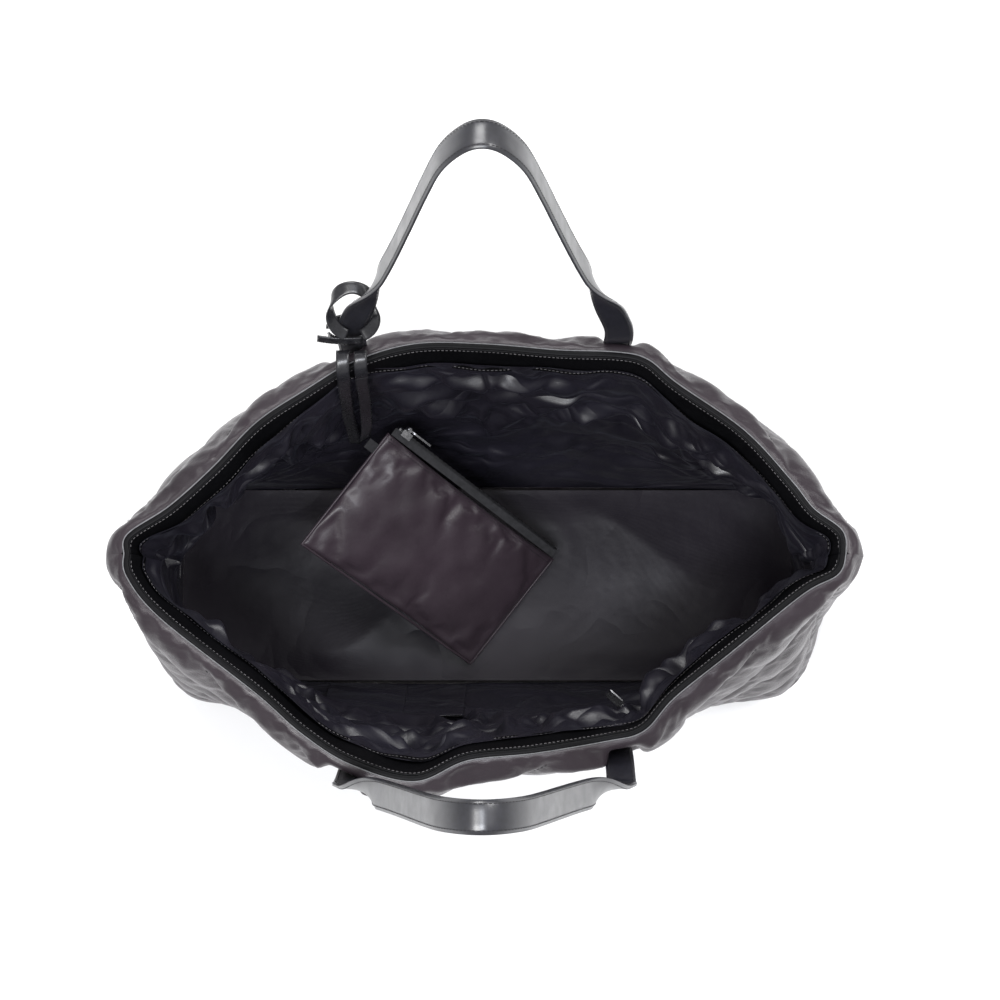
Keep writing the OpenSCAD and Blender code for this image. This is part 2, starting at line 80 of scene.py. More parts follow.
RIM_Z, WALL_Z = 340.0, 1.8  # top and foot of the walls
BASE_X, BASE_Y, BASE_R = 300.0, 95.0, 30.0  # the base's half length, half width and corner radius
PUFF, RIM_EDGE, RIM_ROLL = 16.0, 3.0, 20.0  # padded wall: thickness, thickness at the rim, height of its roll there
FOOT_EDGE, FOOT_ROLL = 12.0, 18.0  # the same at the foot
BELLY = {BACK: 18.0, FRONT: 9.0}  # how far a wall swells at its middle
FLOOR_TOP = 10.7
CELLS = 40  # a wall's length from seam to seam, in cells
ROOT_X, BEND_Z, RISE = 112.0, 346.0, 316.0  # a handle's feet at +-ROOT_X, its bend line, its height above that
BEND_Y = {BACK: 178.0, FRONT: -191.0}
LEAN = {BACK: 16.0, FRONT: 4.0}  # a handle's outward lean in degrees
STRAP_W, STRAP_T = 24.0, 3.4
TANGENT, SQUARED = 0.6, 0.8  # in cells: half span of a wall's tangent, stretch squared off at a seam

MOUTH = {
    BACK: [(-298, -2), (-296, 13), (-262, 36), (-226, 69), (-190, 107), (-150, 134), (-110, 158), (-60, 173),
           (0, 173), (60, 168), (112, 166), (136, 160), (160, 140), (216, 100), (255, 57), (273, 34), (296, 16),
           (298, -2)],
    FRONT: [(-298, -2), (-296, -20), (-268, -54), (-188, -116), (-150, -149), (-110, -174), (-58, -188),
            (-15, -171), (40, -165), (100, -155), (130, -147), (155, -120), (203, -82), (263, -34), (292, -18),
            (298, -2)],
}


def smoothed(points):
    """A smooth curve through the points, 8 steps to each stretch."""
    n = 8
    p = np.array(points, float)
    out = []
    for i in range(len(p) - 1):
        a, b, c, d = p[max(i - 1, 0)], p[i], p[i + 1], p[min(i + 2, len(p) - 1)]
        for k in range(n):
            s = k / n
            out.append(b + s * (c - a) / 2 + s * s * (a - 2.5 * b + 2 * c - d / 2)
                       + s ** 3 * (1.5 * (b - c) + (d - a) / 2))
    out.append(p[-1])
    return np.array(out)


def unit(v):
    return v / np.linalg.norm(v, axis=-1, keepdims=True)


def lengths(p):
    """Distance run along polyline p at each of its points."""
    return np.r_[0, np.cumsum(np.linalg.norm(np.diff(p, axis=0), axis=1))]


def along(p, share):
    """Points of polyline p at the given shares of its length."""
    run = lengths(p)
    want = np.clip(share, 0, 1) * run[-1]
    return np.stack([np.interp(want, run, p[:, k]) for k in range(p.shape[1])], -1)


def base_half(side):
    """Half of the base's outline, from its left end to its right."""
    x, y, r = BASE_X, BASE_Y, BASE_R
    turn = np.radians(np.arange(180, 89, -15))
    left = np.c_[-x + r + r * np.cos(turn), side * (y - r + r * np.sin(turn))]
    turn = np.radians(np.arange(90, -1, -15))
    right = np.c_[x - r + r * np.cos(turn), side * (y - r + r * np.sin(turn))]
    return np.r_[[[-x, 0]], left, right, [[x, 0]]]


MOUTH_LINE = {side: smoothed(MOUTH[side]) for side in MOUTH}
BASE_LINE = {side: base_half(side) for side in MOUTH}


def wall_mid(side, u, t):
    """The lining line at cell u and share t of the wall's height, in mm, before it swells."""
    return along(BASE_LINE[side], u / CELLS) * (1 - t)[..., None] + along(MOUTH_LINE[side], u / CELLS) * t[..., None]


def wall(side, u, z, d):
    """Points of a wall, in metres: u is 0 to 40 from seam to seam, z and d in mm, d outward from the lining."""
    u, z, d = np.broadcast_arrays(np.asarray(u, float), np.asarray(z, float), np.asarray(d, float))
    t = np.clip((z - WALL_Z) / (RIM_Z - WALL_Z), 0, 1)
    v = unit(wall_mid(side, np.minimum(u + TANGENT, CELLS), t) - wall_mid(side, np.maximum(u - TANGENT, 0), t))
    out = side * np.stack([-v[..., 1], v[..., 0]], -1)
    end = np.clip(1 - np.minimum(u, CELLS - u) / SQUARED, 0, 1)[..., None]
    straight = np.stack([np.where(u < CELLS / 2, -1.0, 1.0), np.zeros_like(u)], -1)
    out = unit(out * (1 - end) + straight * end)
    swell = BELLY[side] * np.sin(np.pi * t) * np.sin(np.pi * u / CELLS)
    p = wall_mid(side, u, t) + (swell + d)[..., None] * out
    return np.concatenate([p, z[..., None]], -1) * MM


def wall_thick(z):
    """The padded wall's thickness at height z, rounded over at its rim and foot."""
    def round_over(a):
        return np.sqrt(1 - (1 - np.clip(a, 0, 1)) ** 2)
    return np.minimum(RIM_EDGE + (PUFF - RIM_EDGE) * round_over((RIM_Z - z) / RIM_ROLL),
                      FOOT_EDGE + (PUFF - FOOT_EDGE) * round_over((z - WALL_Z) / FOOT_ROLL))


def step_up(a, low, high):
    """0 below low, 1 above high and smooth between."""
    s = np.clip((a - low) / (high - low), 0, 1)
    return s * s * (3 - 2 * s)


def ripples(seed, a, b, sizes):
    """Soft irregular waves over the plane (a, b), about -1 to 1; sizes are wavelengths."""
    r = np.random.default_rng(seed)
    out = np.zeros(np.broadcast(a, b).shape)
    for size in sizes:
        for _ in range(4):
            turn, phase = r.uniform(0, 2 * math.pi, 2)
            k = 2 * math.pi / (size * r.uniform(0.75, 1.3))
            wander = 0.9 * np.sin(0.6 * k * (b * math.cos(turn) - a * math.sin(turn)) + 2 * phase)
            out = out + np.sin(k * (a * math.cos(turn) + b * math.sin(turn)) + phase + wander)
    return out / (2.6 * math.sqrt(len(sizes)))


# ---- mesh helpers

def mesh_object(name, points, faces, smooth=True):
    mesh = bpy.data.meshes.new(name)
    mesh.from_pydata([tuple(p) for p in np.asarray(points, float)], [], [tuple(int(i) for i in f) for f in faces])
    mesh.polygons.foreach_set("use_smooth", [smooth] * len(mesh.polygons))
    mesh.update()
    obj = bpy.data.objects.new(name, mesh)
    scene.collection.objects.link(obj)
    return obj


def grid_faces(rows, cols, closed=False, flip=False):
    r, c = np.meshgrid(np.arange(rows - 1), np.arange(cols if closed else cols - 1), indexing="ij")
    c2 = (c + 1) % cols
    f = np.stack([r * cols + c, r * cols + c2, (r + 1) * cols + c2, (r + 1) * cols + c], -1).reshape(-1, 4)
    return f[:, ::-1] if flip else f


def grid_object(name, points, closed=False, flip=False):
    rows, cols = points.shape[:2]
    return mesh_object(name, points.reshape(-1, 3), grid_faces(rows, cols, closed, flip))


def thicken(obj, thick, offset=-1.0):
    m = obj.modifiers.new("thick", "SOLIDIFY")
    m.thickness, m.offset = thick, offset
    return obj


def subdivide(obj):
    m = obj.modifiers.new("fine", "SUBSURF")
    m.levels = m.render_levels = 1
    return obj


def dress(obj, material):
    obj.data.materials.clear()
    obj.data.materials.append(material)
    return obj


def put(piece, material, body):
    """Dress a new piece and make it ride on a body."""
    dress(piece, material)
    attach(piece, body)
    return piece


def strap_axes(path, across):
    """Unit width and normal directions of a strap, square to its path."""
    t = unit(np.gradient(path, axis=0))
    across = unit(across - t * np.sum(across * t, axis=1, keepdims=True))
    return across, np.cross(t, across)


def sweep(name, path, across, width, thick, corner=0.35):
    """Flat strap along a path; across is its width direction, corner the share of its edge bevelled. In metres."""
    path = np.asarray(path, float)
    across, up = strap_axes(path, np.asarray(across, float))
    outline = [(k, 1.0) for k in np.linspace(-1, 1, 7)] + [(k, -1.0) for k in np.linspace(1, -1, 7)]
    rings = []
    for side, level in outline:
        bevel = corner * thick / 2 if abs(side) > 0.99 else 0
        rings.append(path + across * (side * width / 2) + up * (level * (thick / 2 - bevel)))
    n, k = len(path), len(outline)
    faces = [list(f) for f in grid_faces(n, k, closed=True)]
    faces.append(list(range(k))[::-1])
    faces.append([(n - 1) * k + i for i in range(k)])
    return mesh_object(name, np.stack(rings, 1).reshape(-1, 3), faces)


def tube(name, path, radius, closed=False):
    sides = 8
    path = np.asarray(path, float)
    n = len(path)
    t = unit(np.roll(path, -1, 0) - np.roll(path, 1, 0) if closed else np.gradient(path, axis=0))
    a = unit(np.cross(t, np.where(np.abs(t[:, 2:3]) > 0.9, [[1.0, 0, 0]], [[0, 0, 1.0]])))
    b = np.cross(t, a)
    turn = np.linspace(0, 2 * math.pi, sides, endpoint=False)
    ring = a[:, None] * np.cos(turn)[None, :, None] + b[:, None] * np.sin(turn)[None, :, None]
    points = path[:, None] + ring * radius
    if closed:
        faces = [(r * sides + c, r * sides + (c + 1) % sides, (r + 1) % n * sides + (c + 1) % sides,
                  (r + 1) % n * sides + c) for r in range(n) for c in range(sides)]
    else:
        faces = [list(f) for f in grid_faces(n, sides, closed=True)]
        faces.append(list(range(sides))[::-1])
        faces.append([(n - 1) * sides + i for i in range(sides)])
    return mesh_object(name, points.reshape(-1, 3), faces)


def stitches(name, lines, pitch, length, radius):
    """Rows of thread dashes along lines: each line is (points, outward directions). Pitch and so on are in mm."""
    pitch, length, radius = pitch * MM, length * MM, radius * MM
    sides = 6
    points, faces = [], []
    for path, normal in lines:
        path, normal = np.asarray(path, float), np.asarray(normal, float)
        run = lengths(path)
        for s in np.arange(pitch / 2, run[-1], pitch):
            start, middle, end = np.array([np.interp([s - length / 2, s, s + length / 2], run, path[:, k])
                                           for k in range(3)]).T
            up = np.array([np.interp(s, run, normal[:, k]) for k in range(3)])
            up /= np.linalg.norm(up) + 1e-12
            t = end - start
            t /= np.linalg.norm(t) + 1e-12
            side = np.cross(t, up)
            first = len(points)
            sunk, proud = up * radius * 0.7, up * radius * 0.2
            for q, r in ((start - sunk, 0.45), (start * 0.7 + middle * 0.3 + proud, 1.0),
                         (end * 0.7 + middle * 0.3 + proud, 1.0), (end - sunk, 0.45)):
                for w in range(sides):
                    turn = w * 2 * math.pi / sides
                    points.append(q + (side * math.cos(turn) + up * math.sin(turn)) * radius * r)
            for k in range(3):
                for w in range(sides):
                    a, b = first + k * sides + w, first + k * sides + (w + 1) % sides
                    faces.append((a, b, b + sides, a + sides))
            faces.append([first + w for w in range(sides)][::-1])
            faces.append([first + 3 * sides + w for w in range(sides)])
    return mesh_object(name, points, faces)


def joined(name, objects):
    """One object out of several of one material."""
    points, faces = [], []
    for o in objects:
        start = len(points)
        points.extend([tuple(v.co) for v in o.data.vertices])
        faces.extend([start + i for i in f.vertices] for f in o.data.polygons)
        bpy.data.objects.remove(o)
    return mesh_object(name, points, faces)


# ---- cloth simulation, one pass for every soft piece

SETTLE_FRAMES = 22
settling = []


def settle_later(obj, pinned, grow=0.03, pressure=0.0, gravity=0.0, bend=0.02, cap=6 * MM, stiff=12, share=1.0,
                 grid=None):
    """Cloth for a piece, pinned at some points; cap limits how far a point moves, share scales that for each."""
    group = obj.vertex_groups.new(name="pin")
    group.add([int(i) for i in pinned], 1.0, "REPLACE")
    m = obj.modifiers.new("Cloth", "CLOTH")
    s = m.settings
    s.vertex_group_mass = "pin"
    s.pin_stiffness = 1
    s.quality = 4
    s.mass = 0.12
    s.air_damping = 3
    s.tension_stiffness = s.compression_stiffness = stiff
    s.shear_stiffness = stiff / 3
    s.bending_stiffness = bend
    s.shrink_min = -grow
    s.effector_weights.gravity = gravity
    if pressure:
        s.use_pressure = True
        s.uniform_pressure_force = pressure
    m.collision_settings.use_collision = False
    settling.append((obj, cap, share, grid))


def eased(p, times):
    """A closed ring of points, in rows, with its finest creases rubbed out."""
    for _ in range(times):
        inner = (np.roll(p, 1, 1) + 2 * p + np.roll(p, -1, 1)) / 4
        p = inner.copy()
        p[1:-1] = (inner[:-2] + 2 * inner[1:-1] + inner[2:]) / 4
    return p


def coordinates(mesh):
    co = np.zeros(len(mesh.vertices) * 3, np.float32)
    mesh.vertices.foreach_get("co", co)
    return co.reshape(-1, 3).astype(float)


def settle_all():
    """Run every cloth at once, then move each mesh as far as its cap allows and take its cloth off."""
    scene.frame_start, scene.frame_end = 1, SETTLE_FRAMES
    for obj, *_ in settling:
        cache = obj.modifiers["Cloth"].point_cache
        cache.frame_start, cache.frame_end = 1, SETTLE_FRAMES
    for f in range(1, SETTLE_FRAMES + 1):
        scene.frame_set(f)
    dg = bpy.context.evaluated_depsgraph_get()
    for obj, cap, share, grid in settling:
        start = coordinates(obj.data)
        ev = obj.evaluated_get(dg)
        moved = coordinates(ev.to_mesh())
        ev.to_mesh_clear()
        shift = moved - start
        far = np.linalg.norm(shift, axis=1, keepdims=True)
        soft = cap * np.tanh(far / cap)
        shift = shift * soft / np.maximum(far, 1e-9) * np.reshape(share, (-1, 1))
        if grid:
            shift = eased(shift.reshape(*grid, 3), 2).reshape(-1, 3)
        obj.modifiers.remove(obj.modifiers["Cloth"])
        obj.vertex_groups.clear()
        obj.data.vertices.foreach_set("co", (start + shift).ravel().astype(np.float32))
        obj.data.update()
    scene.frame_set(1)
    settling.clear()


# ---- materials

class Nodes:
    """Small helper that writes a Principled material with procedural detail."""

    def __init__(self, name):
        self.mat = bpy.data.materials.new(name)
        self.mat.use_nodes = True
        self.tree = self.mat.node_tree
        self.shader = self.tree.nodes["Principled BSDF"]
        self.place = self.tree.nodes.new("ShaderNodeTexCoord").outputs["Object"]

    def node(self, kind, inputs=None, **settings):
        n = self.tree.nodes.new(kind)
        for k, v in settings.items():
            setattr(n, k, v)
        for k, v in (inputs or {}).items():
            if isinstance(v, bpy.types.NodeSocket):
                self.tree.links.new(v, n.inputs[k])
            else:
                n.inputs[k].default_value = v
        return n

    def stretched(self, scale, turn=(0, 0, 0)):
        return self.node("ShaderNodeMapping", {"Vector": self.place, "Scale": scale, "Rotation": turn}).outputs[0]

    def noise(self, scale, detail=3.0, rough=0.55, place=None, distort=0.0):
        return self.node("ShaderNodeTexNoise", {"Vector": place or self.place, "Scale": scale, "Detail": detail,
                                                "Roughness": rough, "Distortion": distort}).outputs["Fac"]

    def bands(self, scale, axis="X", distort=0.0):
        return self.node("ShaderNodeTexWave", {"Vector": self.place, "Scale": scale, "Distortion": distort},
                         wave_type="BANDS", bands_direction=axis).outputs["Fac"]

    def math(self, how, a, b=0.0):
        return self.node("ShaderNodeMath", {0: a, 1: b}, operation=how).outputs[0]

    def span(self, value, low, high):
        """A noise's usual 0.3 to 0.7 spread over low to high."""
        return self.node("ShaderNodeMapRange", {0: value, 1: 0.3, 2: 0.7, 3: low, 4: high}).outputs[0]

    def colours(self, value, dark, light, low=0.3, high=0.7):
        n = self.tree.nodes.new("ShaderNodeValToRGB")
        self.tree.links.new(value, n.inputs[0])
        for e, at, rgb in zip(n.color_ramp.elements, (low, high), (dark, light)):
            e.position = at
            e.color = (*rgb, 1)
        self.tree.links.new(n.outputs[0], self.shader.inputs["Base Color"])

    def bump(self, layers):
        normal = None
        for value, depth in layers:
            n = self.node("ShaderNodeBump", {"Height": value, "Strength": 1.0, "Distance": depth})
            if normal is not None:
                self.tree.links.new(normal, n.inputs["Normal"])
            normal = n.outputs[0]
        self.tree.links.new(normal, self.shader.inputs["Normal"])

    def set(self, **values):
        for k, v in values.items():
            self.shader.inputs[k.replace("_", " ")].default_value = v

    def rough(self, value):
        self.tree.links.new(value, self.shader.inputs["Roughness"])


def nylon(name, dark, light, wrinkle=1.0):
    n = Nodes(name)
    wide = n.noise(9, 2)
    fine = n.noise(60, 4, 0.6)
    n.colours(n.math("ADD", n.math("MULTIPLY", wide, 0.7), n.math("MULTIPLY", fine, 0.3)), dark, light)
    n.rough(n.span(n.noise(35, 3), 0.28, 0.42))
    weave = n.math("MULTIPLY", n.bands(900, "X"), n.bands(900, "Z"))
    crease = n.noise(150, 3, 0.6, n.stretched((0.5, 1.0, 1.6), (0.3, 0.5, 0.2)))
    n.bump([(n.noise(16, 2, 0.5), 1.6 * MM * wrinkle), (n.noise(55, 3, 0.6), 0.5 * MM * wrinkle),
            (crease, 0.35 * MM * wrinkle), (weave, 0.03 * MM)])
    n.set(Specular_IOR_Level=0.42, Sheen_Weight=0.04, Sheen_Roughness=0.4, Coat_Weight=0.03, Coat_Roughness=0.25)
    n.shader.inputs["Sheen Tint"].default_value = (0.75, 0.65, 0.75, 1)
    return n.mat


def satin(name, dark, light, gloss=0.24, ribs="X", crushed=24, shine=0.8):
    n = Nodes(name)
    n.colours(n.noise(7, 2), dark, light)
    n.rough(n.span(n.noise(22, 3), gloss, gloss + 0.14))
    rib = n.bands(330, ribs, distort=0.4)
    thread = n.bands(900, "Z")
    crush = n.noise(9.5, 2, 0.45, n.stretched((1, 1, 2.0), (0, 0.5, 0)), 0.8)
    n.bump([(n.math("ABSOLUTE", n.math("SUBTRACT", crush, 0.5)), crushed * MM), (n.noise(40, 2, 0.5), 0.5 * MM),
            (n.noise(120, 2, 0.5, n.stretched((1, 1, 0.35))), 0.15 * MM), (rib, 0.03 * MM), (thread, 0.02 * MM)])
    n.set(Specular_IOR_Level=shine, Sheen_Weight=0.02, Sheen_Roughness=0.3, Anisotropic=0.35)
    n.shader.inputs["Sheen Tint"].default_value = (0.6, 0.62, 0.85, 1)
    return n.mat


def leather(name, dark, light, gloss=0.34, grain=0.03, shine=0.5):
    n = Nodes(name)
    n.colours(n.math("ADD", n.math("MULTIPLY", n.noise(14, 2), 0.5), n.math("MULTIPLY", n.noise(300, 2), 0.5)),
              dark, light, 0.35, 0.68)
    n.rough(n.span(n.noise(70, 3), gloss, gloss + 0.12))
    cells = n.node("ShaderNodeTexVoronoi", {"Vector": n.place, "Scale": 900.0}, feature="DISTANCE_TO_EDGE").outputs[0]
    n.bump([(n.noise(30, 2), 0.25 * MM), (n.math("MINIMUM", cells, 0.12), grain * MM * 2),
            (n.noise(1500, 2), 0.01 * MM)])
    n.set(Specular_IOR_Level=shine, Coat_Weight=0.4 * shine, Coat_Roughness=0.3)
    return n.mat


def thread_mat(name, rgb):
    n = Nodes(name)
    n.colours(n.noise(900, 2), tuple(c * 0.7 for c in rgb), rgb)
    n.rough(n.span(n.noise(400), 0.45, 0.65))
    n.bump([(n.bands(1600, "X", distort=1.0), 0.08 * MM)])
    return n.mat


def tape_mat(name):
    n = Nodes(name)
    n.colours(n.noise(200, 2), (0.006, 0.006, 0.008), (0.02, 0.02, 0.024))
    n.rough(n.span(n.noise(90), 0.6, 0.8))
    n.bump([(n.math("MULTIPLY", n.bands(420, "X"), n.bands(420, "Z")), 0.12 * MM)])
    n.set(Sheen_Weight=0.2, Sheen_Roughness=0.5)
    return n.mat


def metal_mat(name, dark, light):
    n = Nodes(name)
    n.colours(n.noise(260, 3), dark, light)
    n.rough(n.span(n.noise(500, 3), 0.16, 0.34))
    n.bump([(n.noise(700, 2, 0.5, n.stretched((1, 1, 6))), 0.02 * MM)])
    n.set(Metallic=1.0)
    return n.mat


SHELL = nylon("shell_nylon", (0.017, 0.012, 0.016), (0.031, 0.023, 0.029))
POUCH = nylon("pouch_nylon", (0.026, 0.018, 0.024), (0.048, 0.035, 0.045), 0.35)
LINING = satin("lining_satin", (0.008, 0.007, 0.011), (0.017, 0.016, 0.024), gloss=0.29, shine=0.7)
# the lining's satin again, painted lighter and more plum for the floor, which faces up into the light: painted light
# and sheen, with its specular turned down
FLOOR_LIT_SATIN = satin("floor_satin_painted_lit", (0.013, 0.011, 0.016), (0.027, 0.023, 0.031), gloss=0.34, ribs="Y", crushed=5, shine=0.3)
FACING = leather("facing_leather", (0.0015, 0.0015, 0.002), (0.004, 0.004, 0.005), gloss=0.5, shine=0.1)
# pale grey on the facing's folded edge: a painted highlight on the black leather fold, not a colour of its own
FOLD_HIGHLIGHT = leather("folded_edge_painted_highlight", (0.08, 0.08, 0.085), (0.17, 0.17, 0.18), gloss=0.35)
STRAP = leather("strap_leather", (0.008, 0.008, 0.011), (0.018, 0.018, 0.026), gloss=0.32, shine=0.85)
TIE = leather("tie_leather", (0.010, 0.010, 0.012), (0.022, 0.022, 0.026), gloss=0.22)
THREAD = thread_mat("pale_thread", (0.20, 0.19, 0.20))
DARK_THREAD = thread_mat("dark_thread", (0.03, 0.028, 0.032))
TAPE = tape_mat("zip_tape_weave")
TEETH = leather("zip_teeth_moulded", (0.006, 0.006, 0.007), (0.016, 0.016, 0.018), gloss=0.3, grain=0.02)
METAL = metal_mat("zip_metal_polished", (0.42, 0.42, 0.44), (0.70, 0.70, 0.72))


# ---- outer quilted walls

PANEL = 740.0  # length of a wall panel along its middle, in mm
CHANNEL, SLOPE = 82.0, 0.82  # height and slope of the chevron channels
MIDDLE = {BACK: 12.0, FRONT: 4.0}  # where the chevrons' points stand, from the panel's middle
PHASE = {BACK: 0.45, FRONT: 0.5}  # height of a seam at that point, in channels
SEAM_DEPTH = 6.5
SIDE_COLS, WALL_ROWS = 181, 84
SHELL_Z = np.r_[np.linspace(WALL_Z, 322, WALL_ROWS - 8), 326, 329.5, 332.5, 335, 337, 338.6, 339.6, RIM_Z]
SEWN_FROM = 262.0  # lower edge of a handle's sewn end


def gusset_line(z):
    """Cells from the panel's end to the seam between the end panel and the long panel, at height z."""
    t = (z - WALL_Z) / (RIM_Z - WALL_Z)
    return 4.7 * (1 - t) + 1.1 * t


def quilt(side, u, z):
    """Share of the way from the nearest quilting seam, 0 on it, to the middle of the channel, 1."""
    s = (u / CELLS - 0.5) * PANEL - MIDDLE[side]
    f = (z - SLOPE * np.abs(s)) / CHANNEL + PHASE[side]
    a = 2 * np.abs(f - np.round(f))
    from_end = np.minimum(u, CELLS - u)
    g = np.abs(from_end - gusset_line(z)) * PANEL / CELLS / (CHANNEL / 2)
    inside = from_end < gusset_line(z)
    a = np.where(inside, np.clip(g, 0, 1), np.minimum(a, np.clip(g, 0, 1)))
    return a


def strap_patch(x, z):
    """1 where a handle's sewn end presses on the wall."""
    return step_up(16 - np.abs(np.abs(x) - ROOT_X), 0, 5) * step_up(z, SEWN_FROM - 10, SEWN_FROM)


def shell_grid(side):
    """Points of an outer wall before it settles, and which of them are pinned."""
    uu, zz = np.meshgrid(np.linspace(0, CELLS, SIDE_COLS), SHELL_Z)
    a = quilt(side, uu, zz)
    lie = wall(side, uu, zz, 0)[..., 0] / MM
    fade = step_up(RIM_Z - zz, 1, 14) * step_up(zz, 3, 16)      # no quilting at the rim and the foot
    puff = SEAM_DEPTH * (1.45 * np.clip(1 - (1 - a) ** 2.4, 0, 1) ** 0.55 - 1.0)
    patch = strap_patch(lie, zz)
    d = wall_thick(zz) + fade * (puff * (1 - patch) - 5.0 * patch)
    if side == FRONT:
        d += 5 * fade * (1 - patch) * step_up(175 - np.abs(lie), 0, 60) * step_up(zz, 200, 260)
    d += fade * (1 - patch) * 0.5 * ripples(3 + side, lie, zz, (90, 45))
    d += fade * (1 - patch) * 1.3 * np.exp(-(a / 0.28) ** 2) * ripples(9 + side, uu * 18.5, zz, (14,))
    pin = (a < 0.07) | (patch > 0.4) | (zz > 339) | (zz < 3)
    return wall(side, uu, zz, d), pin


def ring_of(front, back):
    """Front and back grids as one closed ring, without doubled seam columns."""
    return np.concatenate([front, back[:, ::-1][:, 1:-1]], axis=1)


shell_front, pin_front = shell_grid(FRONT)
shell_back, pin_back = shell_grid(BACK)
shell_points = ring_of(shell_front, shell_back)
shell_pins = ring_of(pin_front, pin_back)
shell = grid_object("shell_ring", shell_points, closed=True)
settle_later(shell, np.flatnonzero(shell_pins.ravel()), grow=0.035, pressure=2.2, bend=0.02, cap=3.5 * MM, stiff=12)

# ---- lining walls

ZIP_AT = np.array([74.0, -140.3, 232.0])  # middle of the pocket zip
ZIP_TURN = (math.radians(82), math.radians(188))  # its turns about x and z


def turn_about(axis, angle, p):
    """Points p turned about axis 0, 1 or 2."""
    p = np.asarray(p, float)
    i, j = (axis + 1) % 3, (axis + 2) % 3
    out = p.copy()
    out[..., i] = p[..., i] * math.cos(angle) - p[..., j] * math.sin(angle)
    out[..., j] = p[..., i] * math.sin(angle) + p[..., j] * math.cos(angle)
    return out


def to_zip(p):
    """Frame point in metres to the pocket zip's own axes in mm."""
    return turn_about(0, -ZIP_TURN[0], turn_about(2, -ZIP_TURN[1], p / MM - ZIP_AT))


def from_zip(p):
    return (turn_about(2, ZIP_TURN[1], turn_about(0, ZIP_TURN[0], p)) + ZIP_AT) * MM


LINING_ROWS, LINING_TOP = 84, 318.0
FACING_LOW = 306.0  # lower edge of the facing
ON_WALL = -1.4  # as close as the lining comes to the wall
POCKET_TOP = 134  # the lining lies flat behind the slip pockets up to here


def folds(seed, a, b, sizes):
    """Creased waves, 0 to 1, with sharp crests like slack satin."""
    return (1 - np.abs(ripples(seed, a, b, sizes))) ** 2


def drape(seed, a, b, size, lean):
    """Long folds whose crests lean by about lean radians from level, fading in and out; 0 to 1."""
    r = np.random.default_rng(seed)
    wander = ripples(seed + 1, a, b, (230,))
    out = np.zeros(np.broadcast(a, b).shape)
    for k in range(3):
        turn = lean + r.uniform(-0.35, 0.35) + 0.35 * wander
        wave = 2 * math.pi / (size * r.uniform(0.8, 1.35))
        crest = 0.5 + 0.5 * np.sin(wave * (b * np.cos(turn) - a * np.sin(turn)) + r.uniform(0, 6.3) + 2.2 * wander)
        here = step_up(ripples(seed + 7 + k, a, b, (190, 120)), -0.25, 0.55)
        out = np.maximum(out, here * crest ** 2.2)
    return out


def by_strips(side, x):
    """1 where the two tie strips lie against the back wall."""
    return np.exp(-((x + 112) / 30) ** 2) if side == BACK else 0 * x


def by_zip(side, x):
    """1 where the inner pocket's slider sits below the front facing."""
    return np.exp(-((x - 112) / 42) ** 2) if side == FRONT else 0 * x


def facing_in(side, x):
    """How far the facing's lower edge stands in from the wall, in mm."""
    ends = step_up(np.abs(x), 120, 230) * (1 - step_up(np.abs(x), 255, 292))
    middle = 9 + 1.6 * ripples(81 + side, x, x * 0.1, (150, 60))
    return (middle + 7 * ends) * (1 - 0.65 * by_strips(side, x)) * (1 - 0.35 * by_zip(side, x))


def slack(side, x):
    """How far the lining hangs in from the wall at its fullest, in mm."""
    ends = step_up(np.abs(x), 130, 240) * (1 - 0.6 * step_up(np.abs(x), 262, 296))
    return (11 + 15 * ends) * (1 - 0.65 * by_strips(side, x)) * (1 - 0.55 * by_zip(side, x))


def lining_grid(side):
    """Points of a lining wall before it settles, and which of them are pinned."""
    u = np.linspace(0, CELLS, SIDE_COLS)
    z = np.linspace(FLOOR_TOP, LINING_TOP, LINING_ROWS)
    uu, zz = np.meshgrid(u, z)
    x = wall(side, uu, zz, 0)[..., 0] / MM
    at_facing = facing_in(side, x) - 1.5
    full = slack(side, x)
    reach = at_facing + (full - at_facing) * step_up(FACING_LOW - zz, 0, 30)
    reach = reach * (1 - step_up(FACING_LOW - 30 - zz, 0, 215)) + 2.0
    loose = step_up(zz, 20, 70) * step_up(LINING_TOP - zz, 10, 45) * (0.35 + 0.65 * step_up(zz, 60, 210))
    loose = loose * (1 - 0.5 * by_strips(side, x))
    flank = np.where(x < 0, -1.0, 1.0)
    long_fold = drape(23 + side, x, zz, 62, 0.6 * flank[:1])
    cross_fold = drape(63 + side, x, zz, 44, -0.75 * flank[:1])
    d = -reach - loose * (15 * (long_fold - 0.25) + 8 * (cross_fold - 0.25))
    p = wall(side, uu, zz, np.minimum(d, ON_WALL))
    pin = (zz > LINING_TOP - 4) | (zz < FLOOR_TOP + 4)
    if side == FRONT:       # flat round the zip and behind the slip pockets
        q = to_zip(p)
        out_x, out_y = np.abs(q[..., 0]) - 66, np.abs(q[..., 1]) - 12
        near = 1 - step_up(np.maximum(out_x, out_y), 2, 22)
        flat = q.copy()
        flat[..., 2] = -3.4
        p = p * (1 - near[..., None]) + from_zip(flat) * near[..., None]
        pin = pin | (near > 0.9)
        pocket = step_up(u, 11.5, 12.5) * (1 - step_up(u, 18.5, 19.5))
        low = (zz < POCKET_TOP) & (pocket[None] > 0.5)
        p[low] = wall(side, uu, zz, ON_WALL)[low]
        pin = pin | (low & (zz < POCKET_TOP - 8))
    return p, pin


